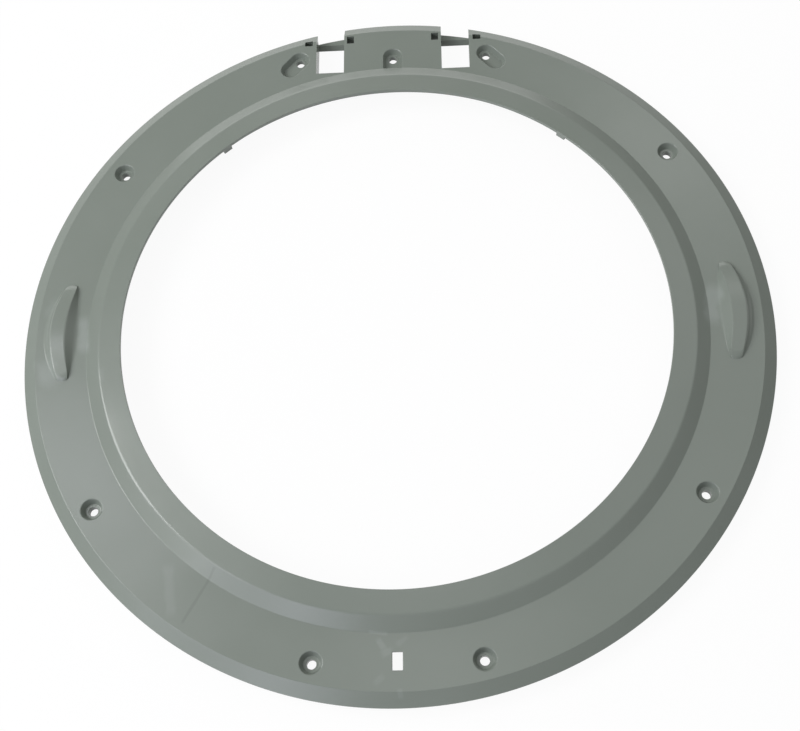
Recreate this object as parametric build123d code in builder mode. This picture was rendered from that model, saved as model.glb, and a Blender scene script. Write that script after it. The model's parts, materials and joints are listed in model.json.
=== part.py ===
# Washing machine door frame, one moulded ring lying face up on its back edge, in millimetres
import os
from math import atan, cos, degrees, radians, sin

from build123d import *

os.makedirs("parts", exist_ok=True)

# Opening, the bands from it out to the rim, and the wall
opening_radius = 164.0
crown_run = 13.6
slope_run = 8.6
flat_run = 31.0
bevel_run = 7.8
wall = 2.2

# Height of the rim above the floor and the rise of each band from there up to the opening
rim_height = 10.0
bevel_rise = 4.4
slope_rise = 4.6
crown_rise = 1.7
shoulder_round = 3.0
lip_chamfer = 0.8

# Radii and heights where the section turns
shoulder_radius = opening_radius + crown_run
foot_radius = shoulder_radius + slope_run
bevel_radius = foot_radius + flat_run
rim_radius = bevel_radius + bevel_run
flat_height = rim_height + bevel_rise
shoulder_height = flat_height + slope_rise
crown_height = shoulder_height + crown_rise

# Skirt under the rim and the rib that the glass seats against, both on the hidden side
rim_edge = 1.2
rim_overhang = 2.6
skirt_radius = rim_radius - rim_overhang
skirt_wall = 2.2
seat_gap = 7.0
seat_radius = opening_radius + seat_gap
seat_wall = 2.0
seat_bottom = 8.4

# How far joined solids sink into each other, and how far a cut runs past what it cuts
overlap = 0.5
past = 1.0

# Six screw recesses on one pitch circle, each a drafted cup with a bore in its floor
pitch_out = 20.2
pitch_radius = foot_radius + pitch_out
screw_angles = (33.0, 147.0, 213.0, 257.0, 283.0, 327.0)
screw_bore_radius = 2.7
mouth_radius = 6.4
floor_radius = 4.6
recess_depth = 4.0
bore_length = 4.2
post_radius = screw_bore_radius + wall

# Hinge: tab, two notches and the bar left across each
tab_width = 64.8
notch_width = 18.5
notch_bite = 1.7
notch_inner = foot_radius - notch_bite
bar_depth = 12.0
bar_inner = rim_radius - bar_depth
bar_height = 4.0
pocket_wall = 1.6

# Hinge screws: one slot on the centre line and a slanted one at each side
hinge_screw_out = 9.6
hinge_screw_y = foot_radius + hinge_screw_out
hinge_screw_x = 61.9
hinge_bore_length = 3.3
slant_x = 6.1
slant_y = -7.2
centre_run = 9.0
foot_gap = 0.2

# Small square holes beside the notches
inner_square_x = 28.2
inner_square_in = 6.2
inner_square_y = bevel_radius - inner_square_in
inner_square = (4.7, 5.8)
outer_square_x = 56.1
outer_square_in = 7.6
outer_square_y = bevel_radius - outer_square_in
outer_square = (5.2, 4.6)

# Latch slot opposite the hinge
latch_out = 14.8
latch_y = -(foot_radius + latch_out)
latch_size = (5.6, 9.8)
latch_round = 0.8

# Arched pads at the left and right of the flat
pad_rise = 4.5
pad_half_length = 33.0
pad_out = 6.8
pad_chord = foot_radius + pad_out
pad_round_radius = 40.6
pad_margin = 4.0
pad_centre = bevel_radius - pad_margin - pad_round_radius
pad_inner_run = 6.0
pad_outer_run = 5.7

# Stiffening ribs and the two lugs that hold the glass, on the hidden side
rib_angles = (20.0, 46.0, 134.0, 160.0, 200.0, 226.0, 241.0, 264.0, 276.0, 299.0, 314.0, 340.0)
rib_wall = 1.8
rib_bottom = 5.0
lug_angles = (50.0, 130.0)
lug_width = 6.0
lug_depth = 4.0
lug_set_back = 1.6
lug_bottom = 13.2

# Values that follow from the ones above
flat_under = flat_height - wall
bevel_slope = (flat_height - rim_height) / (rim_radius - bevel_radius)
bevel_drop = wall * (1 + bevel_slope**2) ** 0.5
bevel_under_radius = rim_radius - (flat_under + bevel_drop - rim_height) / bevel_slope
skirt_inner = skirt_radius - skirt_wall
skirt_top = rim_height + (rim_radius - skirt_inner) * bevel_slope - bevel_drop
slope = (shoulder_height - flat_height) / (foot_radius - shoulder_radius)
slope_drop = wall * (1 + slope**2) ** 0.5
foot_under_radius = foot_radius + (flat_height - slope_drop - flat_under) / slope
crown_slope = (crown_height - shoulder_height) / (shoulder_radius - opening_radius)
crown_drop = wall * (1 + crown_slope**2) ** 0.5
shoulder_under_radius = shoulder_radius - (slope_drop - crown_drop) / (slope - crown_slope)
shoulder_under = shoulder_height + (shoulder_radius - shoulder_under_radius) * crown_slope - crown_drop
lip_under = crown_height - crown_drop
recess_floor = flat_height - recess_depth
cup_bottom = recess_floor - wall
bore_bottom = recess_floor - bore_length
hinge_cup_bottom = recess_floor - hinge_bore_length
recess_draft = (mouth_radius - floor_radius) / recess_depth
recess_draft_deg = degrees(atan(recess_draft))
notch_x = tab_width / 2 + notch_width / 2


# Solid of one arched pad on the right side, drawn in by an inset all round for the hollow under it
def pad_solid(inset, bottom):
    top = flat_height + pad_rise - inset
    base = flat_height - inset
    arch = (pad_half_length**2 + pad_rise**2) / (2 * pad_rise)
    inner_rate = pad_inner_run / pad_rise
    outer_rate = pad_outer_run / pad_rise
    chord = pad_chord + inset
    round_radius = pad_round_radius - inset
    with BuildPart() as pad:
        with BuildSketch(Plane.XZ) as side:
            with BuildLine():
                low = (chord + (bottom - base) * inner_rate, bottom)
                high = (chord + (top + past - base) * inner_rate, top + past)
                far = pad_centre + 2 * pad_round_radius
                Polyline(low, high, (far, top + past), (far, bottom), close=True)
            make_face()
        extrude(side.sketch, amount=2 * pad_half_length, both=True)
        with Locations((pad_centre, 0, bottom)):
            base_radius = round_radius + (base - bottom) * outer_rate
            head_radius = round_radius - (top + past - base) * outer_rate
            Cone(
                base_radius,
                head_radius,
                top + past - bottom,
                align=(Align.CENTER, Align.CENTER, Align.MIN),
                mode=Mode.INTERSECT,
            )
        with Locations(Location((pad_centre, 0, top - arch), (0, 90, 0))):
            Cylinder(arch, 6 * pad_round_radius, mode=Mode.INTERSECT)
    return pad.part


# Tool that sinks the centre hinge slot, ending just off the slope's foot and in line with the slope
with BuildPart() as centre_tool:
    with BuildSketch(Plane.XY.offset(flat_height)) as centre_mouth:
        SlotCenterPoint((0, hinge_screw_y - centre_run), (0, hinge_screw_y), 2 * mouth_radius)
    extrude(centre_mouth.sketch, amount=recess_depth, dir=(0, 0, -1), taper=recess_draft_deg)
    with Locations((0, 0, recess_floor - past)):
        Cone(
            foot_radius + foot_gap + (recess_depth + past) / slope,
            foot_radius + foot_gap - past / slope,
            recess_depth + 2 * past,
            align=(Align.CENTER, Align.CENTER, Align.MIN),
            mode=Mode.SUBTRACT,
        )

# The whole ring: section turned round the axis, then the recesses, notches, pads and hidden ribs
with BuildPart() as door_frame:
    # Stepped shell with its skirt
    with BuildSketch(Plane.XZ) as section:
        with BuildLine():
            Polyline(
                (opening_radius, crown_height),
                (shoulder_radius, shoulder_height),
                (foot_radius, flat_height),
                (bevel_radius, flat_height),
                (rim_radius, rim_height),
                (rim_radius, rim_height - rim_edge),
                (skirt_radius, rim_height - rim_edge),
                (skirt_radius, 0),
                (skirt_inner, 0),
                (skirt_inner, skirt_top),
                (bevel_under_radius, flat_under),
                (foot_under_radius, flat_under),
                (shoulder_under_radius, shoulder_under),
                (opening_radius, lip_under),
                close=True,
            )
        make_face()
        shoulder = section.vertices().sort_by_distance((shoulder_radius, shoulder_height, 0))[0]
        fillet(shoulder, shoulder_round)
        lip = section.vertices().sort_by_distance((opening_radius, crown_height, 0))[0]
        chamfer(lip, lip_chamfer)
    revolve(section.sketch, axis=Axis.Z)

    # Rib that the glass seats against
    with BuildSketch(Plane.XY.offset(seat_bottom)) as seat:
        Circle(seat_radius + seat_wall)
        Circle(seat_radius, mode=Mode.SUBTRACT)
    extrude(seat.sketch, amount=lip_under - overlap - seat_bottom)

    # Stiffening ribs between the foot of the slope and the skirt, lower under the bevel
    for angle in rib_angles:
        with Locations(Location((0, 0, rib_bottom), (0, 0, angle))):
            with Locations((foot_under_radius - overlap, 0, 0)):
                rib_length = bevel_under_radius - foot_under_radius + overlap
                rib_height = flat_under + overlap - rib_bottom
                Box(rib_length, rib_wall, rib_height, align=(Align.MIN, Align.CENTER, Align.MIN))
                reach = skirt_inner - foot_under_radius + 2 * overlap
                Box(reach, rib_wall, skirt_top - rib_bottom, align=(Align.MIN, Align.CENTER, Align.MIN))

    # Lugs behind the edge of the opening
    for angle in lug_angles:
        with Locations(Location((0, 0, lug_bottom), (0, 0, angle))):
            with Locations((opening_radius + lug_set_back + lug_depth / 2, 0, 0)):
                lug_height = lip_under + overlap - lug_bottom
                Box(lug_depth, lug_width, lug_height, align=(Align.CENTER, Align.CENTER, Align.MIN))

    # Walls that box in the two hinge notches
    with BuildSketch() as pockets:
        with Locations((notch_x, 0), (-notch_x, 0)):
            pocket_width = notch_width + 2 * pocket_wall
            pocket_start = notch_inner - pocket_wall
            with Locations((0, (pocket_start + rim_radius) / 2)):
                Rectangle(pocket_width, rim_radius - pocket_start)
        Circle(skirt_radius, mode=Mode.INTERSECT)
    extrude(pockets.sketch, amount=skirt_top)
    with BuildSketch() as pocket_tops:
        add(pockets.sketch)
        Circle(bevel_under_radius, mode=Mode.INTERSECT)
    extrude(pocket_tops.sketch, amount=flat_under + overlap)

    # Cups and posts round the six screws
    cup_low = floor_radius + wall
    cup_high = mouth_radius + wall
    for angle in screw_angles:
        x = pitch_radius * cos(radians(angle))
        y = pitch_radius * sin(radians(angle))
        with Locations((x, y, cup_bottom)):
            cup_height = flat_under + overlap - cup_bottom
            Cone(cup_low, cup_high, cup_height, align=(Align.CENTER, Align.CENTER, Align.MIN))
        with Locations((x, y, bore_bottom)):
            Cylinder(post_radius, bore_length - overlap, align=(Align.CENTER, Align.CENTER, Align.MIN))

    # Thick-floored cups under the three hinge slots
    with BuildSketch(Plane.XY.offset(hinge_cup_bottom)) as hinge_cups:
        SlotCenterPoint((0, hinge_screw_y - centre_run / 2), (0, hinge_screw_y), 2 * cup_high)
        for side in (-1, 1):
            SlotCenterPoint(
                (side * (hinge_screw_x + slant_x / 2), hinge_screw_y + slant_y / 2),
                (side * hinge_screw_x, hinge_screw_y),
                2 * cup_high,
            )
    extrude(hinge_cups.sketch, amount=flat_under + overlap - hinge_cup_bottom)

    # Pads at the left and right of the flat, hollow underneath
    pad = pad_solid(0.0, flat_height - past)
    core = pad_solid(wall, flat_under - past)
    add(pad)
    add(mirror(pad, about=Plane.YZ, mode=Mode.PRIVATE))
    add(core, mode=Mode.SUBTRACT)
    add(mirror(core, about=Plane.YZ, mode=Mode.PRIVATE), mode=Mode.SUBTRACT)

    # Six drafted screw recesses and their bores
    for angle in screw_angles:
        x = pitch_radius * cos(radians(angle))
        y = pitch_radius * sin(radians(angle))
        with Locations((x, y, recess_floor)):
            Cone(
                floor_radius,
                mouth_radius + past * recess_draft,
                recess_depth + past,
                align=(Align.CENTER, Align.CENTER, Align.MIN),
                mode=Mode.SUBTRACT,
            )
        with Locations((x, y, bore_bottom - past)):
            Cylinder(
                screw_bore_radius,
                bore_length + 2 * past,
                align=(Align.CENTER, Align.CENTER, Align.MIN),
                mode=Mode.SUBTRACT,
            )

    # Three hinge slots and their bores
    with BuildSketch(Plane.XY.offset(flat_height)) as slant_mouths:
        for side in (-1, 1):
            SlotCenterPoint(
                (side * (hinge_screw_x + slant_x / 2), hinge_screw_y + slant_y / 2),
                (side * hinge_screw_x, hinge_screw_y),
                2 * mouth_radius,
            )
    extrude(
        slant_mouths.sketch,
        amount=recess_depth,
        dir=(0, 0, -1),
        taper=recess_draft_deg,
        mode=Mode.SUBTRACT,
    )
    add(centre_tool.part, mode=Mode.SUBTRACT)
    with BuildSketch(Plane.XY.offset(hinge_cup_bottom - past)) as hinge_bores:
        with Locations((-hinge_screw_x, hinge_screw_y), (0, hinge_screw_y), (hinge_screw_x, hinge_screw_y)):
            Circle(screw_bore_radius)
    extrude(hinge_bores.sketch, amount=hinge_bore_length + 2 * past, mode=Mode.SUBTRACT)

    # Two notches open to the rim, each with a low bar left across it
    for side in (-1, 1):
        with Locations((side * notch_x, notch_inner, bar_height)):
            Box(
                notch_width,
                rim_radius - notch_inner + past,
                crown_height,
                align=(Align.CENTER, Align.MIN, Align.MIN),
                mode=Mode.SUBTRACT,
            )
        with Locations((side * notch_x, notch_inner, -past)):
            Box(
                notch_width,
                bar_inner - notch_inner,
                crown_height,
                align=(Align.CENTER, Align.MIN, Align.MIN),
                mode=Mode.SUBTRACT,
            )

    # Small square holes beside the notches
    for side in (-1, 1):
        with Locations((side * inner_square_x, inner_square_y, flat_under)):
            Box(*inner_square, 2 * wall + 2 * past, mode=Mode.SUBTRACT)
        with Locations((side * outer_square_x, outer_square_y, flat_under)):
            Box(*outer_square, 2 * wall + 2 * past, mode=Mode.SUBTRACT)

    # Latch slot through the flat
    with BuildSketch(Plane.XY.offset(flat_under - past)) as latch:
        with Locations((0, latch_y)):
            RectangleRounded(*latch_size, latch_round)
    extrude(latch.sketch, amount=wall + 2 * past, mode=Mode.SUBTRACT)

# Name the piece and save it
door_frame.part.label = "door_frame"
export_step(door_frame.part, "parts/door_frame.step")
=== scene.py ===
import json
from math import cos, pi, radians, sin, sqrt, tan

import bmesh
import bpy
from mathutils import Matrix, Vector

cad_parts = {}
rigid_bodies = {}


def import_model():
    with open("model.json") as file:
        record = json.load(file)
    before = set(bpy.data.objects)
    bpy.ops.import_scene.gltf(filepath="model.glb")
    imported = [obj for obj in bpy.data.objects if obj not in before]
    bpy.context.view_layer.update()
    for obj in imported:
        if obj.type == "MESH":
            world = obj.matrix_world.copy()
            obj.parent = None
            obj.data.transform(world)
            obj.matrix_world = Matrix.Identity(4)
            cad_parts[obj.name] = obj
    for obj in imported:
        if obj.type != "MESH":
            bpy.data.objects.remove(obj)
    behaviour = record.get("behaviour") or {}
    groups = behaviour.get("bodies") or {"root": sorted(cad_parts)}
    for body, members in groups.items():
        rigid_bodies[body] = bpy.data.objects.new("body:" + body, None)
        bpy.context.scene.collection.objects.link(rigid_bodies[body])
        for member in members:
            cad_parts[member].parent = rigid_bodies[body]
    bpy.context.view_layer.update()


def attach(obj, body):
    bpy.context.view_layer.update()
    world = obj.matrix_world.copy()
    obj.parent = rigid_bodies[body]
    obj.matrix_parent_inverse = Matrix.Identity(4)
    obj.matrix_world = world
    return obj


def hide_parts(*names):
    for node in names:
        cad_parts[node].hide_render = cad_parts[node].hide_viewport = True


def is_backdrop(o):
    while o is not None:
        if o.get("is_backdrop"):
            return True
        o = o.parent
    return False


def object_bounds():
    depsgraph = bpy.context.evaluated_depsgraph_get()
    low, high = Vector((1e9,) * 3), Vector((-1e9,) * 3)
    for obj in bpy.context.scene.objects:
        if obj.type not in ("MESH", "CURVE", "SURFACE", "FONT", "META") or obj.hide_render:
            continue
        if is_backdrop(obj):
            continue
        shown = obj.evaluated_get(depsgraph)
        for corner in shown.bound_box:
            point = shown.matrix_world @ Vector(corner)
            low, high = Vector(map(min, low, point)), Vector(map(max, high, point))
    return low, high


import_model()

# Ring shell: the stepped body of the frame, from the thin rim over the flat to the crown round the opening.
# One shot of grey-green plastic, about two millimetres thick, with a skirt and the glass seat's rib behind.
# It is drawn as one section line in millimetres and turned round the axis by the tree further down.
rim_radius, opening_radius, wall = 224.95, 164.0, 2.2
flat_height, rim_height, shoulder_height, crown_height = 14.4, 10.0, 19.0, 20.63
bevel_radius, foot_radius, shoulder_radius = 217.2, 186.2, 177.6
flat_under, bevel_under, foot_under, shoulder_under = flat_height - wall, 216.6, 185.65, (177.1, 16.77)
rim_under, skirt_outer, skirt_inner, skirt_top = rim_height - 1.2, rim_radius - 2.6, rim_radius - 4.8, 10.18
seat_outer, seat_inner, seat_low, seat_roots, lip_under = 173.0, 171.0, 8.4, (17.35, 17.6), 18.48
soft_edge, rim_round, shoulder_round, foot_round, bevel_round, skirt_round = 0.3, 0.5, 5.0, 1.2, 0.8, 0.4
turning_radius = 0.195  # metres, of the circle that the section is turned along


def rounded_line(corners):
    """Points of a closed line whose corners (x, y, round, steps) are turned into tangent arcs."""
    line = []
    for i, (x, y, radius, steps) in enumerate(corners):
        here = Vector((x, y))
        before = (Vector(corners[i - 1][:2]) - here).normalized()
        after = (Vector(corners[(i + 1) % len(corners)][:2]) - here).normalized()
        if radius == 0:
            line.append((x, y))
            continue
        half = before.angle(after) / 2
        centre = here + (before + after).normalized() * (radius / sin(half))
        start = here + before * (radius / tan(half)) - centre
        turn = start.angle_signed(here + after * (radius / tan(half)) - centre)
        for k in range(steps + 1):
            line.append(tuple(centre + Matrix.Rotation(-turn * k / steps, 2) @ start))
    return line


section = rounded_line(
    [
        (opening_radius, crown_height, soft_edge, 4),
        (shoulder_radius, shoulder_height, shoulder_round, 12),
        (foot_radius, flat_height, foot_round, 4),
        (bevel_radius, flat_height, bevel_round, 5),
        (rim_radius, rim_height, rim_round, 4),
        (rim_radius, rim_under, soft_edge, 3),
        (skirt_outer, rim_under, soft_edge, 3),
        (skirt_outer, 0.0, soft_edge, 3),
        (skirt_inner, 0.0, soft_edge, 3),
        (skirt_inner, skirt_top, skirt_round, 3),
        (bevel_under, flat_under, 0, 0),
        (foot_under, flat_under, 0, 0),
        (*shoulder_under, 0, 0),
        (seat_outer, seat_roots[0], soft_edge, 3),
        (seat_outer, seat_low, soft_edge, 3),
        (seat_inner, seat_low, soft_edge, 3),
        (seat_inner, seat_roots[1], soft_edge, 3),
        (opening_radius, lip_under, soft_edge, 3),
    ]
)
section_curve = bpy.data.curves.new("section_line", "CURVE")
section_curve.dimensions = "3D"
spline = section_curve.splines.new("POLY")
spline.points.add(len(section) - 1)
for point, (r, z) in zip(spline.points, section):
    point.co = (r / 1000 - turning_radius, -z / 1000, 0, 1)
spline.use_cyclic_u = True
section_line = bpy.data.objects.new("section_line", section_curve)
bpy.context.scene.collection.objects.link(section_line)

# Screw recesses: six drafted cups on one pitch circle, each with a bore for a screw and a post behind it.
# Moulded in one with the ring by core pins, so the mouth and the floor's edge are softly rounded.
# One pin and one cup are drawn here, and the tree sets them at six points of the flat.
pitch_radius, bore_radius, mouth_radius, floor_radius, recess_floor = 206.4, 2.7, 6.4, 4.6, 10.4
bore_edge, pin_low, pin_top, round_steps = 0.25, 4.0, flat_height + 8, 28
past = 0.01  # a core goes this far past a face that it opens
bedded = flat_under + 0.4  # top of what is bedded in the back of the flat

# Drawn solids wait in three collections: what the tree adds, what it takes out and what it repeats
added = bpy.data.collections.new("added_plastic")
cored = bpy.data.collections.new("mould_cores")
loose = bpy.data.collections.new("repeated_solids")
for collection in (added, cored, loose):
    bpy.context.scene.collection.children.link(collection)


def solid(name, rings, collection):
    """A closed mesh through equal rings of points in millimetres, from the lowest up."""
    mesh = bmesh.new()
    rows = [[mesh.verts.new(Vector(p) / 1000) for p in ring] for ring in rings]
    for low, high in zip(rows, rows[1:]):
        for i in range(len(low)):
            j = (i + 1) % len(low)
            mesh.faces.new((low[i], low[j], high[j], high[i]))
    mesh.faces.new(reversed(rows[0]))
    mesh.faces.new(rows[-1])
    data = bpy.data.meshes.new(name)
    mesh.to_mesh(data)
    mesh.free()
    made = bpy.data.objects.new(name, data)
    collection.objects.link(made)
    return made


def oblong(start, end, radius, z, steps=20):
    """Outline of a slot with round ends from start to end, or of a circle where they are one point."""
    run = Vector(end) - Vector(start)
    heading = run.to_2d().angle_signed(Vector((1, 0)), 0) if run.length else 0
    ring = []
    for centre, first in ((end, heading - pi / 2), (start, heading + pi / 2)):
        for k in range(steps + (0 if run.length == 0 else 1)):
            a = first + pi * k / steps
            ring.append((centre[0] + radius * cos(a), centre[1] + radius * sin(a), z))
    return ring


def pin_levels(bottom):
    """Radius and height of a core pin from below the bore up through the rounded mouth."""
    levels = [(bore_radius, bottom), (bore_radius, recess_floor - bore_edge)]
    levels += [(bore_radius + bore_edge, recess_floor)]
    levels += [(floor_radius - 0.5, recess_floor), (floor_radius - 0.15, recess_floor + 0.12)]
    levels += [(floor_radius + 0.1, recess_floor + 0.45), (mouth_radius - 0.33, flat_height - 0.55)]
    levels += [(mouth_radius - 0.2, flat_height - 0.28), (mouth_radius + 0.02, flat_height - 0.09)]
    return levels + [(mouth_radius + 0.34, flat_height + past), (mouth_radius + 0.4, pin_top)]


origin = (0.0, 0.0)
pin_rings = [oblong(origin, origin, r, z, round_steps) for r, z in pin_levels(pin_low)]
screw_pin = solid("screw_pin", pin_rings, loose)
post_radius, post_low, cup_low, cup_foot, cup_radius, cup_top = 4.9, 6.2, 8.2, 6.8, 8.6, flat_under + 0.5
cup_levels = [(post_radius, post_low), (post_radius, cup_low), (cup_foot, cup_low), (cup_radius, cup_top)]
cup_rings = [oblong(origin, origin, r, z, round_steps) for r, z in cup_levels]
screw_cup = solid("screw_cup", cup_rings, loose)
screw_angles = [radians(a) for a in (33, 147, 213, 257, 283, 327)]
screw_mesh = bpy.data.meshes.new("screw_places")
screw_points = [(pitch_radius / 1000 * cos(a), pitch_radius / 1000 * sin(a), 0) for a in screw_angles]
screw_mesh.from_pydata(screw_points, [], [])
screw_places = bpy.data.objects.new("screw_places", screw_mesh)
loose.objects.link(screw_places)

# Stiffening ribs: twelve thin webs on the back, from the foot of the slope out to the skirt.
# Plain moulded fins that keep the flat from sagging, lower where the bevel comes down to the rim.
# One is drawn along X, and the tree turns it to each place.
rib_inner, rib_bend, rib_outer, rib_low, rib_end, rib_half = 185.15, 216.8, 220.7, 5.0, 10.3, 0.9
rib_side = [(rib_inner, rib_low), (rib_outer, rib_low), (rib_outer, rib_end)]
rib_side += [(rib_bend, bedded), (rib_inner, bedded)]
rib = solid("rib", [[(r, y, z) for r, z in rib_side] for y in (rib_half, -rib_half)], loose)
rib_mesh = bpy.data.meshes.new("rib_places")
rib_angles = [radians(a) for a in (20, 46, 134, 160, 200, 226, 241, 264, 276, 299, 314, 340)]
micrometres = 1e6  # in a metre: each point lies one off the axis, to tell which way its rib faces
rib_mesh.from_pydata([(cos(a) / micrometres, sin(a) / micrometres, 0) for a in rib_angles], [], [])
rib_places = bpy.data.objects.new("rib_places", rib_mesh)
loose.objects.link(rib_places)

# Lugs: two small blocks behind the edge of the opening that hold the glass, just seen past the far edge.
# They are moulded in one with the crown, of the same plastic.
lug_inner, lug_outer, lug_half, lug_low, lug_top = 165.6, 169.6, 3, 13.2, 18.98
lug_square = ((lug_inner, -lug_half), (lug_outer, -lug_half), (lug_outer, lug_half), (lug_inner, lug_half))
for angle in (50, 130):
    along = Vector((cos(radians(angle)), sin(radians(angle))))
    across = Vector((-along.y, along.x))
    corners = [along * r + across * w for r, w in lug_square]
    solid(f"lug_{angle}", [[(p.x, p.y, z) for p in corners] for z in (lug_low, lug_top)], added)

# Hinge area: the tab between two notches open at the rim, each crossed by a low bar and walled behind.
# Three oblong screw recesses lie on and beside the tab, the middle one running out into the slope, and four
# square clip windows with thin walls behind. Slides in the mould form them, so their walls stand square.
notch_low, notch_high, notch_inner, notch_wall, wall_reach, wall_steps = 32.4, 50.9, 184.5, 1.6, 222.4, 12
bar_inner, bar_top = 213.0, 4.0
bar_lean = ((-0.2, -3), (2.4, bar_top + past))  # how far out the bar's face stands, at two heights
beyond_rim, over_all, below, above = 240, 40, -1, 20  # where cores end, clear of the plastic
shroud_wall, shroud_low, shroud_top = 1.1, 1.0, 11.4
hinge_x, hinge_y, hinge_cup_low, slant_x, slant_y = 61.9, 195.8, 7.1, 6.1, 7.2
centre_run, centre_cup_run, slope_steps = 9, 4.5, 240
bore_low, bore_top = 5, 12
slot_levels = [(r, z) for r, z in pin_levels(bore_low) if r > floor_radius - 0.6]  # a recess without its bore
bore_levels = [(bore_radius, bore_low), (bore_radius, recess_floor - bore_edge)]
bore_levels += [(bore_radius + bore_edge, recess_floor + past), (bore_radius, bore_top)]


def block(low, high):
    """Two rings of a plain box between two corners."""
    xs, ys = (low[0], high[0]), (low[1], high[1])
    square = ((xs[0], ys[0]), (xs[1], ys[0]), (xs[1], ys[1]), (xs[0], ys[1]))
    return [[(x, y, z) for x, y in square] for z in (low[2], high[2])]


for side in (-1, 1):
    low, high = sorted((side * (notch_low - notch_wall), side * (notch_high + notch_wall)))
    for reach, top, tag in ((wall_reach, skirt_top, "wall"), (bevel_under, bedded, "wall_top")):
        xs = [high + (low - high) * k / wall_steps for k in range(wall_steps + 1)]
        arc = [(x, sqrt(reach**2 - x**2)) for x in xs]
        outline = [(low, notch_inner - notch_wall), (high, notch_inner - notch_wall), *arc]
        solid(f"notch_{tag}_{side}", [[(x, y, z) for x, y in outline] for z in (0.0, top)], added)
    low, high = sorted((side * notch_low, side * notch_high))
    solid(f"notch_{side}", block((low, notch_inner, bar_top), (high, beyond_rim, over_all)), cored)
    through = []
    for lean, z in bar_lean:
        y = bar_inner + lean
        through.append([(low, notch_inner, z), (high, notch_inner, z), (high, y, z), (low, y, z)])
    solid(f"notch_through_{side}", through, cored)
    for x, y, wide, deep in ((28.2, 211.0, 4.7, 5.8), (56.1, 209.6, 5.2, 4.6)):
        x *= side
        window = block((x - wide / 2, y - deep / 2, below), (x + wide / 2, y + deep / 2, above))
        solid(f"clip_window_{x:.0f}", window, cored)
        half_wide, half_deep = wide / 2 + shroud_wall, deep / 2 + shroud_wall
        near_corner = (x - half_wide, y - half_deep, shroud_low)
        shroud = block(near_corner, (x + half_wide, y + half_deep, shroud_top))
        solid(f"clip_shroud_{x:.0f}", shroud, added)
    screw = (side * hinge_x, hinge_y)
    far = (side * (hinge_x + slant_x), hinge_y - slant_y)
    solid(f"hinge_cup_{side}", [oblong(far, screw, cup_radius, z) for z in (hinge_cup_low, cup_top)], added)
    solid(f"hinge_slot_{side}", [oblong(far, screw, r, z) for r, z in slot_levels], cored)
    solid(f"hinge_bore_{side}", [oblong(screw, screw, r, z) for r, z in bore_levels], cored)
screw, far, cup_end = (0.0, hinge_y), (0.0, hinge_y - centre_run), (0.0, hinge_y - centre_cup_run)
solid("hinge_cup_0", [oblong(cup_end, screw, cup_radius, z) for z in (hinge_cup_low, cup_top)], added)
solid("hinge_bore_0", [oblong(screw, screw, r, z) for r, z in bore_levels], cored)
centre_slot = solid("hinge_slot_0", [oblong(far, screw, r, z) for r, z in slot_levels], cored)
slope_heights = (recess_floor - 2, flat_height + 9)
slope_rings = [oblong(origin, origin, foot_radius + 0.1, z, slope_steps) for z in slope_heights]
slope_form = solid("slope_form", slope_rings, loose)
trim = centre_slot.modifiers.new("trim", "BOOLEAN")
trim.operation, trim.object, trim.solver = "DIFFERENCE", slope_form, "EXACT"

# Latch slot: a small upright window through the flat, opposite the hinge, for the tip of the latch hook.
# Left open in the flat's wall by a slide, with slightly rounded corners and a softly rounded mouth.
latch_y, latch_half_wide, latch_half_tall, latch_round, latch_low = -201, 2.8, 4.9, 0.35, 9
latch_levels = [(0, latch_low), (0, flat_height - 0.35), (0.1, flat_height - 0.12)]
latch_levels += [(0.35, flat_height + past), (0.4, above)]
latch_rings = []
for grow, z in latch_levels:
    x, y, corner = latch_half_wide + grow, latch_half_tall + grow, latch_round + grow
    corners = [(x, latch_y + y), (-x, latch_y + y), (-x, latch_y - y), (x, latch_y - y)]
    latch_rings.append([(*p, z) for p in rounded_line([(*c, corner, 5) for c in corners])])
solid("latch_slot", latch_rings, cored)

# Pads: a bowed grip at the left and one at the right of the flat, hollow behind and moulded in one with it.
# Each is a curved bar with blunt ends, a steep hollow side towards the opening and a flared one to the rim.
# Its surface is a grid whose columns follow the foot, the ridge, the outer edge and the outer foot.
pad_rise, pad_half, pad_end, most_bow, ridge_blend = 5.2, 30.0, 32.2, 1.15, 0.45
foot_place, foot_bow, face_wide, face_taper, face_least = 191.7, 3.4, 6.8, 7.8, 1.4
edge_place, edge_bow, flare_least, flare_more, flare_power = 207.5, 5.4, 1.6, 4.9, 2.2
end_drop, end_round, end_half, end_run = 0.72, 2.2, 5.2, 4.5
hollow_start, hollow_round, hollow_full = 0.16, 0.012, 1.694
grid_end, column_steps, inner_margin, outer_margin, least_depth = 35, 18, 1.2, 1.0, 0.3


def soft_least(a, b, blend):
    """The lesser of two heights, with the edge between them rounded over a blend."""
    share = max(blend - abs(a - b), 0) / blend
    return min(a, b) - share * share * blend / 4


def pad_lines(y):
    """Distances from the middle line of a pad's foot, ridge, outer edge and outer foot at one place along it.

    Each starts from its value at the middle and moves with the square of the way to the end.
    """
    share = min((y / pad_half) ** 2, most_bow)
    foot, edge = foot_place + foot_bow * share, edge_place - edge_bow * share
    face = face_wide - face_taper * share
    ridge = foot + (face + sqrt(face * face + face_least)) / 2
    return foot, ridge, edge, edge + flare_least + flare_more * max(1 - share, 0)


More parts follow.
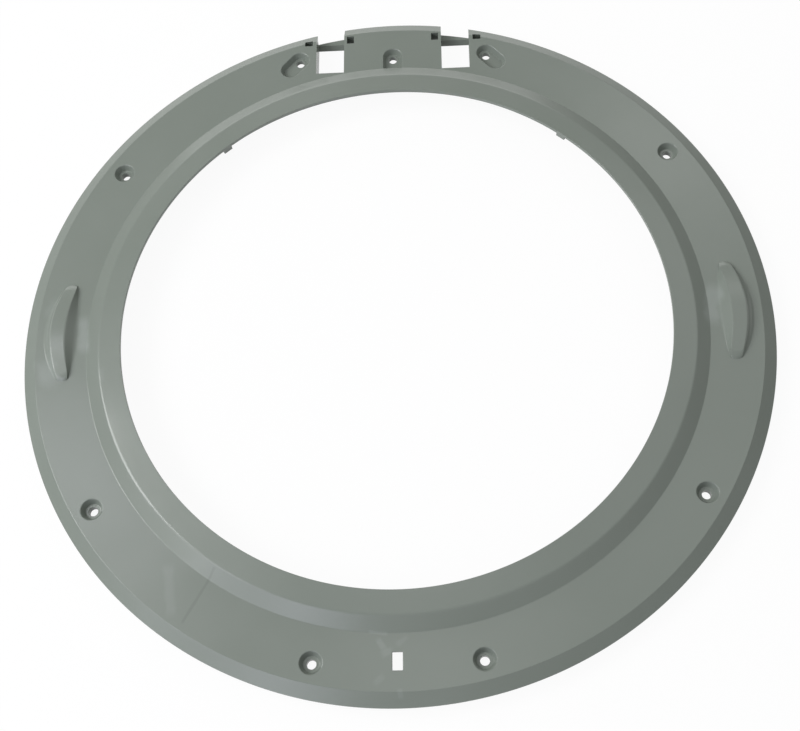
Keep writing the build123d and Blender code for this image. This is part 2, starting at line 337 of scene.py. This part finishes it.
def pad_height(x, y):
    """Height of a pad's surface over the flat: the least of its inner side, bowed top and outer flare."""
    foot, ridge, edge, flare = pad_lines(y)
    bow = pad_rise * (1 - end_drop * (y / pad_end) ** 2)
    reach = pad_end - abs(y) - end_round * ((x - (ridge + edge) / 2) / end_half) ** 2
    end_share = min(max(reach / end_run, 0), 1)
    top = bow * sqrt(1 - (1 - end_share) ** 2)
    way = (x - foot) / (ridge - foot) - hollow_start
    inner = bow * (sqrt(way * way + hollow_round) + way) / hollow_full
    outer = bow * max((flare - x) / (flare - edge), 0) ** flare_power
    return soft_least(soft_least(inner, top, ridge_blend), outer, 3 * ridge_blend)


column_shares = [0.5 - 0.5 * cos(pi * k / column_steps) for k in range(column_steps)]
for side in (-1, 1):
    # Name, steps along, share of the rise, and heights of the surface's foot and of the solid's base
    for tag, along, share, level, base, collection in (
        ("pad", 144, 1.0, flat_height - 0.05, flat_height - 1.2, added),
        ("pad_hollow", 48, 0.8, flat_under - 0.45, flat_under - 1.0, cored),
    ):
        mesh = bmesh.new()
        tops, feet = [], []
        for j in range(along + 1):
            y = -grid_end + 2 * grid_end * j / along
            lines = pad_lines(y)
            xs = [lines[0] - inner_margin]
            for start, end in zip(lines, lines[1:]):
                xs += [start + (end - start) * s for s in column_shares]
            xs += [lines[3], lines[3] + outer_margin]
            heights = [max(level + share * pad_height(x, y), base + least_depth) for x in xs]
            tops.append([mesh.verts.new((side * x / 1000, y / 1000, z / 1000)) for x, z in zip(xs, heights)])
            feet.append([mesh.verts.new((side * x / 1000, y / 1000, base / 1000)) for x in xs])
        across = len(tops[0]) - 1
        for j in range(along):
            for i in range(across):
                mesh.faces.new((tops[j][i], tops[j][i + 1], tops[j + 1][i + 1], tops[j + 1][i]))
                mesh.faces.new((feet[j][i], feet[j + 1][i], feet[j + 1][i + 1], feet[j][i + 1]))
            for i in (0, across):
                mesh.faces.new((tops[j][i], tops[j + 1][i], feet[j + 1][i], feet[j][i]))
        for upper, lower in ((tops[0], feet[0]), (tops[-1], feet[-1])):
            for i in range(across):
                mesh.faces.new((upper[i], upper[i + 1], lower[i + 1], lower[i]))
        bmesh.ops.recalc_face_normals(mesh, faces=mesh.faces)
        data = bpy.data.meshes.new(f"{tag}_{side}")
        mesh.to_mesh(data)
        mesh.free()
        collection.objects.link(bpy.data.objects.new(data.name, data))

# The whole moulding: shell, pads, cups and ribs are one shot of one plastic, so they become one mesh here.
# Grey-green polypropylene with a satin skin: faintly cloudy colour, darker weld lines, pale patches of
# painted sheen, a fine grain and slow waves in the flat.
# The tree turns the section, sets the repeated solids, joins what is added and takes out the cores.


class Field:
    """A shader socket that Python's operators add Math nodes to."""

    def __init__(self, tree, socket):
        self.tree, self.socket = tree, socket

    def node(self, kind, settings=None, out=0, **inputs):
        """Any node, with its settings and the values or links of its sockets; _0 is the first socket."""
        made = self.tree.nodes.new(kind)
        for name, value in (settings or {}).items():
            setattr(made, name, value)
        for name, value in inputs.items():
            key = int(name[1:]) if name[0] == "_" else name.replace("_", " ")
            if isinstance(value, Field):
                self.tree.links.new(value.socket, made.inputs[key])
            else:
                made.inputs[key].default_value = value
        return Field(self.tree, made.outputs[out])

    def math(self, operation, *values):
        numbered = {f"_{i}": value for i, value in enumerate(values)}
        return self.node("ShaderNodeMath", {"operation": operation}, **numbered)

    def __add__(self, other):
        return self.math("ADD", self, other)

    def __sub__(self, other):
        return self.math("SUBTRACT", self, other)

    def __rsub__(self, other):
        return self.math("SUBTRACT", other, self)

    def __mul__(self, other):
        return self.math("MULTIPLY", self, other)

    def __neg__(self):
        return self.math("MULTIPLY", self, -1.0)

    __radd__, __rmul__ = __add__, __mul__

    def step(self, low, high):
        """0 below low, 1 above high and smooth between them."""
        smooth = {"interpolation_type": "SMOOTHSTEP"}
        return self.node("ShaderNodeMapRange", smooth, Value=self, From_Min=low, From_Max=high)

    def blend(self, first, second):
        """A colour between two, by this share."""
        return self.node("ShaderNodeMix", {"data_type": "RGBA"}, out=2, _0=self, _6=first, _7=second)


plastic = bpy.data.materials.new("satin_grey_plastic")
plastic.use_nodes = True
skin = next(n for n in plastic.node_tree.nodes if n.type == "BSDF_PRINCIPLED")
start = Field(plastic.node_tree, skin.outputs[0])
place = start.node("ShaderNodeTexCoord", out="Object")
xyz = place.node("ShaderNodeSeparateXYZ", Vector=place)
x, y = (Field(plastic.node_tree, xyz.socket.node.outputs[i]) for i in range(2))
cloud = place.node("ShaderNodeTexNoise", Vector=place, Scale=17.0, Detail=3.0, Roughness=0.55)
grain = place.node("ShaderNodeTexNoise", Vector=place, Scale=1600.0, Detail=2.0, Roughness=0.6)
wave = place.node("ShaderNodeTexNoise", Vector=place, Scale=24.0, Detail=1.0, Roughness=0.4)
ripple = place.node("ShaderNodeTexNoise", Vector=place, Scale=85.0, Detail=2.0, Roughness=0.5)
# Weld lines and pale patches: start x and y, end x and y and half width in millimetres, and how much paler or
# darker they are.
# Darker ones are weld lines in the plastic. Paler ones are painted sheen: light caught by the satin skin
# beside the pads and on the slope, and flow marks by the latch slot that are partly painted sheen.
full_to, gone_by, ragged = 0.35, 1.35, 1.6  # shares of a mark's half width
weld_and_sheen_marks = 0.0
for x0, y0, x1, y1, wide, strength in (
    (-100.1, -148.7, -117, -178.1, 0.9, -0.28),
    (-126.6, -146.3, -123.8, -173.6, 3, 0.21),
    (-15.2, -185.3, -5.5, -186.6, 1, 0.32),
    (-10.3, -189.2, -7.1, -194.6, 1.6, 0.35),
    (-8.2, -197.7, -2.9, -195.2, 1.8, 0.32),
    (-0.2, -192.6, 5.2, -188.5, 1.6, 0.21),
    (-12, -212.8, -7.7, -208.7, 1.8, 0.2),
    (0.9, -215.6, 1.7, -220.3, 1.2, 0.24),
    (-189.3, 9.3, -187.1, -13.5, 4.2, 0.6),
    (-210.2, -19.3, -204.3, -33.8, 6, 0.5),
    (-207.4, 22.4, -211.8, 11.6, 3.5, 0.21),
    (190.4, 16, 187.7, -7.8, 5, 0.6),
    (-174.3, -27.1, -172.9, -34.9, 2, 0.21),
):
    run = Vector((x1 - x0, y1 - y0))
    ahead = run.normalized()
    from_x, from_y = x * 1000 - x0, y * 1000 - y0
    along = from_x * ahead.x + from_y * ahead.y
    sideways = from_y * ahead.x - from_x * ahead.y
    off = sideways.math("ABSOLUTE", sideways)
    uneven = off + (ripple - 0.5) * (ragged * wide)
    inside = along.step(-wide, wide) * (1 - along.step(run.length - wide, run.length + wide))
    weld_and_sheen_marks = weld_and_sheen_marks + (1 - uneven.step(full_to * wide, gone_by * wide)) * inside * strength
cloud_contrast = 1.1
shade = 0.5 + (cloud - 0.5) * cloud_contrast
deep, pale = (0.183, 0.209, 0.180, 1), (0.205, 0.231, 0.203, 1)
# The paler mark colour is painted sheen, light caught by the satin skin; the darker one is the weld lines'
# own colour
weld, flow_and_sheen = (0.12, 0.137, 0.118, 1), (0.28, 0.31, 0.285, 1)
colour = weld_and_sheen_marks.blend((-weld_and_sheen_marks).blend(shade.blend(deep, pale), weld), flow_and_sheen)
plastic.node_tree.links.new(colour.socket, skin.inputs["Base Color"])
sheen, cloud_sheen, grain_sheen = 0.23, 0.08, 0.04
roughness = sheen + (cloud - 0.5) * cloud_sheen + (grain - 0.5) * grain_sheen
plastic.node_tree.links.new(roughness.socket, skin.inputs["Roughness"])
grain_depth, wave_depth, ripple_depth = 0.000012, 0.0011, 0.00012
height = grain * grain_depth + wave * wave_depth + ripple * ripple_depth
relief = place.node("ShaderNodeBump", Strength=0.35, Distance=1.0, Height=height)
plastic.node_tree.links.new(relief.socket, skin.inputs["Normal"])
skin.inputs["Specular IOR Level"].default_value = 0.5

tree = bpy.data.node_groups.new("door_frame_moulding", "GeometryNodeTree")
sizes = {}
for name, kind, value in (
    ("Section", "Geometry", None),
    ("Turn Steps", "Int", 480),
    ("Turning Radius", "Float", turning_radius),
    ("Screw Pin", "Object", screw_pin),
    ("Screw Cup", "Object", screw_cup),
    ("Screw Places", "Object", screw_places),
    ("Rib", "Object", rib),
    ("Rib Places", "Object", rib_places),
    ("Added Plastic", "Collection", added),
    ("Mould Cores", "Collection", cored),
    ("Skin", "Material", plastic),
):
    socket = tree.interface.new_socket(name, in_out="INPUT", socket_type=f"NodeSocket{kind}")
    sizes[socket.identifier] = value
tree.interface.new_socket("Moulding", in_out="OUTPUT", socket_type="NodeSocketGeometry")
given = tree.nodes.new("NodeGroupInput")


def add_node(kind, settings=None, **inputs):
    """One node of the moulding's tree, with its settings and the values or links of its sockets."""
    made = tree.nodes.new(kind)
    for name, value in (settings or {}).items():
        setattr(made, name, value)
    for name, value in inputs.items():
        socket = made.inputs[name.replace("_", " ")]
        for one in value if isinstance(value, list) else [value]:
            if isinstance(one, bpy.types.NodeSocket):
                tree.links.new(one, socket)
            else:
                socket.default_value = one
    return made.outputs


def set_at(what, places, **turn):
    """Copies of one solid at the points of another object."""
    shape = add_node("GeometryNodeObjectInfo", Object=given.outputs[what])["Geometry"]
    points = add_node("GeometryNodeObjectInfo", Object=given.outputs[places])["Geometry"]
    return add_node("GeometryNodeInstanceOnPoints", Points=points, Instance=shape, **turn)[0]


def solids_of(collection):
    """The solids of a collection, each kept whole."""
    held = given.outputs[collection]
    return add_node("GeometryNodeCollectionInfo", Collection=held, Separate_Children=True)[0]


steps, radius = given.outputs["Turn Steps"], given.outputs["Turning Radius"]
path = add_node("GeometryNodeCurvePrimitiveCircle", Resolution=steps, Radius=radius)[0]
shell = add_node("GeometryNodeCurveToMesh", Curve=path, Profile_Curve=given.outputs["Section"])[0]
outwards = add_node("GeometryNodeInputPosition")[0]
facing = add_node("FunctionNodeAlignRotationToVector", {"axis": "X"}, Vector=outwards)[0]
backs = [solids_of("Added Plastic"), set_at("Screw Cup", "Screw Places")]
backs += [set_at("Rib", "Rib Places", Rotation=facing)]
union, difference = ({"operation": kind, "solver": "MANIFOLD"} for kind in ("UNION", "DIFFERENCE"))
joined = add_node("GeometryNodeMeshBoolean", union, Mesh_2=[shell, *backs])[0]
cores = [solids_of("Mould Cores"), set_at("Screw Pin", "Screw Places")]
cut = add_node("GeometryNodeMeshBoolean", difference, Mesh_1=joined, Mesh_2=cores)[0]
whole = add_node("GeometryNodeRealizeInstances", Geometry=cut)[0]
skinned = add_node("GeometryNodeSetMaterial", Geometry=whole, Material=given.outputs["Skin"])[0]
tree.links.new(skinned, tree.nodes.new("NodeGroupOutput").inputs[0])
moulding = section_line.modifiers.new("moulding", "NODES")
moulding.node_group = tree
for identifier, value in sizes.items():
    if value is not None:
        moulding[identifier] = value
bpy.context.view_layer.update()
evaluated = section_line.evaluated_get(bpy.context.evaluated_depsgraph_get())
frame_mesh = bpy.data.meshes.new_from_object(evaluated)
frame_mesh.name = "moulded_frame"
moulded_frame = bpy.data.objects.new("moulded_frame", frame_mesh)
bpy.context.scene.collection.objects.link(moulded_frame)
for collection in (added, cored, loose):
    for part in list(collection.objects):
        bpy.data.objects.remove(part)
    bpy.data.collections.remove(collection)
bpy.data.objects.remove(section_line)
weld_distance, sharp_angle = 2e-6, radians(33)
welded = bmesh.new()
welded.from_mesh(frame_mesh)
bmesh.ops.remove_doubles(welded, verts=welded.verts, dist=weld_distance)
bmesh.ops.dissolve_degenerate(welded, edges=welded.edges, dist=weld_distance)
for face in welded.faces:
    face.smooth = True
for edge in welded.edges:
    edge.smooth = len(edge.link_faces) == 2 and edge.calc_face_angle() < sharp_angle
welded.to_mesh(frame_mesh)
welded.free()
evened = moulded_frame.modifiers.new("even_shading", "WEIGHTED_NORMAL")
evened.keep_sharp = True
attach(moulded_frame, "root")
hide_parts("door_frame")

# Floor: a plain white sheet under the frame, which is not part of it.
# It shows as white paper to the camera and in reflections and keeps a faint shadow.
half_side = 6
floor_mesh = bpy.data.meshes.new("floor")
floor_corners = [(x * half_side, y * half_side, 0) for x, y in ((-1, -1), (1, -1), (1, 1), (-1, 1))]
floor_mesh.from_pydata(floor_corners, [], [(0, 1, 2, 3)])
floor = bpy.data.objects.new("floor", floor_mesh)
bpy.context.scene.collection.objects.link(floor)


def in_view(shader, mirror_share):
    """1 for what the camera sees, straight or through something clear, and a share where it is mirrored."""
    seen = shader.node("ShaderNodeLightPath", out="Is Camera Ray")
    rays = seen.socket.node.outputs
    mirrored, passed = (Field(shader.tree, rays[n]) for n in ("Is Glossy Ray", "Is Transmission Ray"))
    return seen.math("MAXIMUM", seen.math("MAXIMUM", seen, mirrored * mirror_share), passed)


paper = bpy.data.materials.new("white_paper")
paper.use_nodes = True
paper_skin = next(n for n in paper.node_tree.nodes if n.type == "BSDF_PRINCIPLED")
paper_skin.inputs["Base Color"].default_value = (0.86, 0.86, 0.86, 1)
paper_skin.inputs["Roughness"].default_value = 0.9
paper_skin.inputs["Specular IOR Level"].default_value = 0.1
paper_start = Field(paper.node_tree, paper_skin.outputs[0])
whitened = 0.94  # the rest is lit paper, which keeps the shadow
white_share = in_view(paper_start, mirror_share=0.85) * whitened
bright = paper_start.node("ShaderNodeEmission", Color=(1, 1, 1, 1), Strength=1.0)
sheet = paper_start.node("ShaderNodeMixShader", Fac=white_share, _1=paper_start, _2=bright)
paper_end = next(n for n in paper.node_tree.nodes if n.type == "OUTPUT_MATERIAL")
paper.node_tree.links.new(sheet.socket, paper_end.inputs["Surface"])
floor_mesh.materials.append(paper)
floor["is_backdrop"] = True

# Light: a tent of white panels round the left, back and top, as in a product studio, open at the front right.
# Each row gives a panel's turn and height round the frame in degrees, the angles that it spans,
# how bright its face is and its share of blue, where 1 is plain white.
tent_reach = 1.7
for name, turn, rise, wide, tall, radiance, blue in (
    ("panel_left_back", 147, 62, 16, 12, 3.9, 1.08),
    ("panel_back_right", 67.5, 51, 15, 9, 2.4, 1.0),
    ("panel_left", 175, 42.5, 32, 24, 8.0, 1.0),
    ("panel_left_next", 200, 42, 34, 26, 2.2, 1.0),
    ("panel_left_front", 225, 42, 34, 26, 1.5, 1.15),
    ("panel_front_left", 245, 39, 19, 22, 1.6, 1.2),
    ("panel_front_low", 235, 14, 50, 24, 1.4, 1.15),
    ("panel_back_low", 98, 16, 55, 30, 1.5, 1.0),
    ("panel_left_high", 180, 64, 50, 18, 1.05, 1.0),
    ("panel_right_back", 38, 42, 40, 24, 0.9, 1.0),
    ("panel_top_right", 20, 66, 70, 18, 0.5, 1.0),
    ("panel_top", 95, 88, 147, 17, 1.3, 1.0),
):
    level_reach = cos(radians(rise))
    towards = Vector((cos(radians(turn)) * level_reach, sin(radians(turn)) * level_reach, sin(radians(rise))))
    lamp = bpy.data.lights.new(name, "AREA")
    lamp.shape = "RECTANGLE"
    lamp.color = (1.0, 1.0, blue)
    lamp.size = 2 * tent_reach * tan(radians(wide) / 2) * level_reach
    lamp.size_y = 2 * tent_reach * tan(radians(tall) / 2)
    lamp.energy = radiance * pi * lamp.size * lamp.size_y
    panel = bpy.data.objects.new(name, lamp)
    panel.location = towards * tent_reach
    panel.rotation_euler = (-towards).to_track_quat("-Z", "Y").to_euler()
    bpy.context.scene.collection.objects.link(panel)
room = bpy.data.worlds.new("studio_room")
bpy.context.scene.world = room
room.use_nodes = True
sky = next(n for n in room.node_tree.nodes if n.type == "BACKGROUND")
sky.inputs["Color"].default_value = (1, 1, 1, 1)
sky.inputs["Strength"].default_value = 0.29
dim = Field(room.node_tree, sky.outputs[0])
shown = in_view(dim, mirror_share=0.05)
white = dim.node("ShaderNodeBackground", Color=(1, 1, 1, 1), Strength=1.0)
both = dim.node("ShaderNodeMixShader", Fac=shown, _1=dim, _2=white)
room_end = next(n for n in room.node_tree.nodes if n.type == "OUTPUT_WORLD")
room.node_tree.links.new(both.socket, room_end.inputs["Surface"])

# Camera: stands in front and high above, turned a little, at the photograph's angle.
# Angles are in radians, and the focal length and the lens's centre are in the photograph's pixels.
azimuth, elevation, roll, eye = 0.1084, 1.1466, -0.1318, Vector((0.03957, -0.32268, 0.66644))
photo_wide, photo_tall, focal, centre_x, centre_y, sensor = 800, 731, 1217.05, 408.18, 366.23, 36.0
look = -Vector((sin(azimuth) * cos(elevation), -cos(azimuth) * cos(elevation), sin(elevation)))
level_right = look.cross(Vector((0, 0, 1))).normalized()
level_up = level_right.cross(look)
right = level_right * cos(roll) + level_up * sin(roll)
up = level_up * cos(roll) - level_right * sin(roll)
lens = bpy.data.cameras.new("camera")
lens.sensor_width, lens.lens = sensor, focal * sensor / photo_wide
lens.shift_x = (photo_wide / 2 - centre_x) / photo_wide
lens.shift_y = (centre_y - photo_tall / 2) / photo_wide
camera = bpy.data.objects.new("camera", lens)
camera.matrix_world = Matrix((right, up, -look)).transposed().to_4x4()
camera.location = eye
bpy.context.scene.collection.objects.link(camera)
bpy.context.scene.camera = camera
bpy.context.scene.view_settings.view_transform = "Standard"

# The box round what is shown, leaving out the floor and the hidden imported frame
low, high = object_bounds()
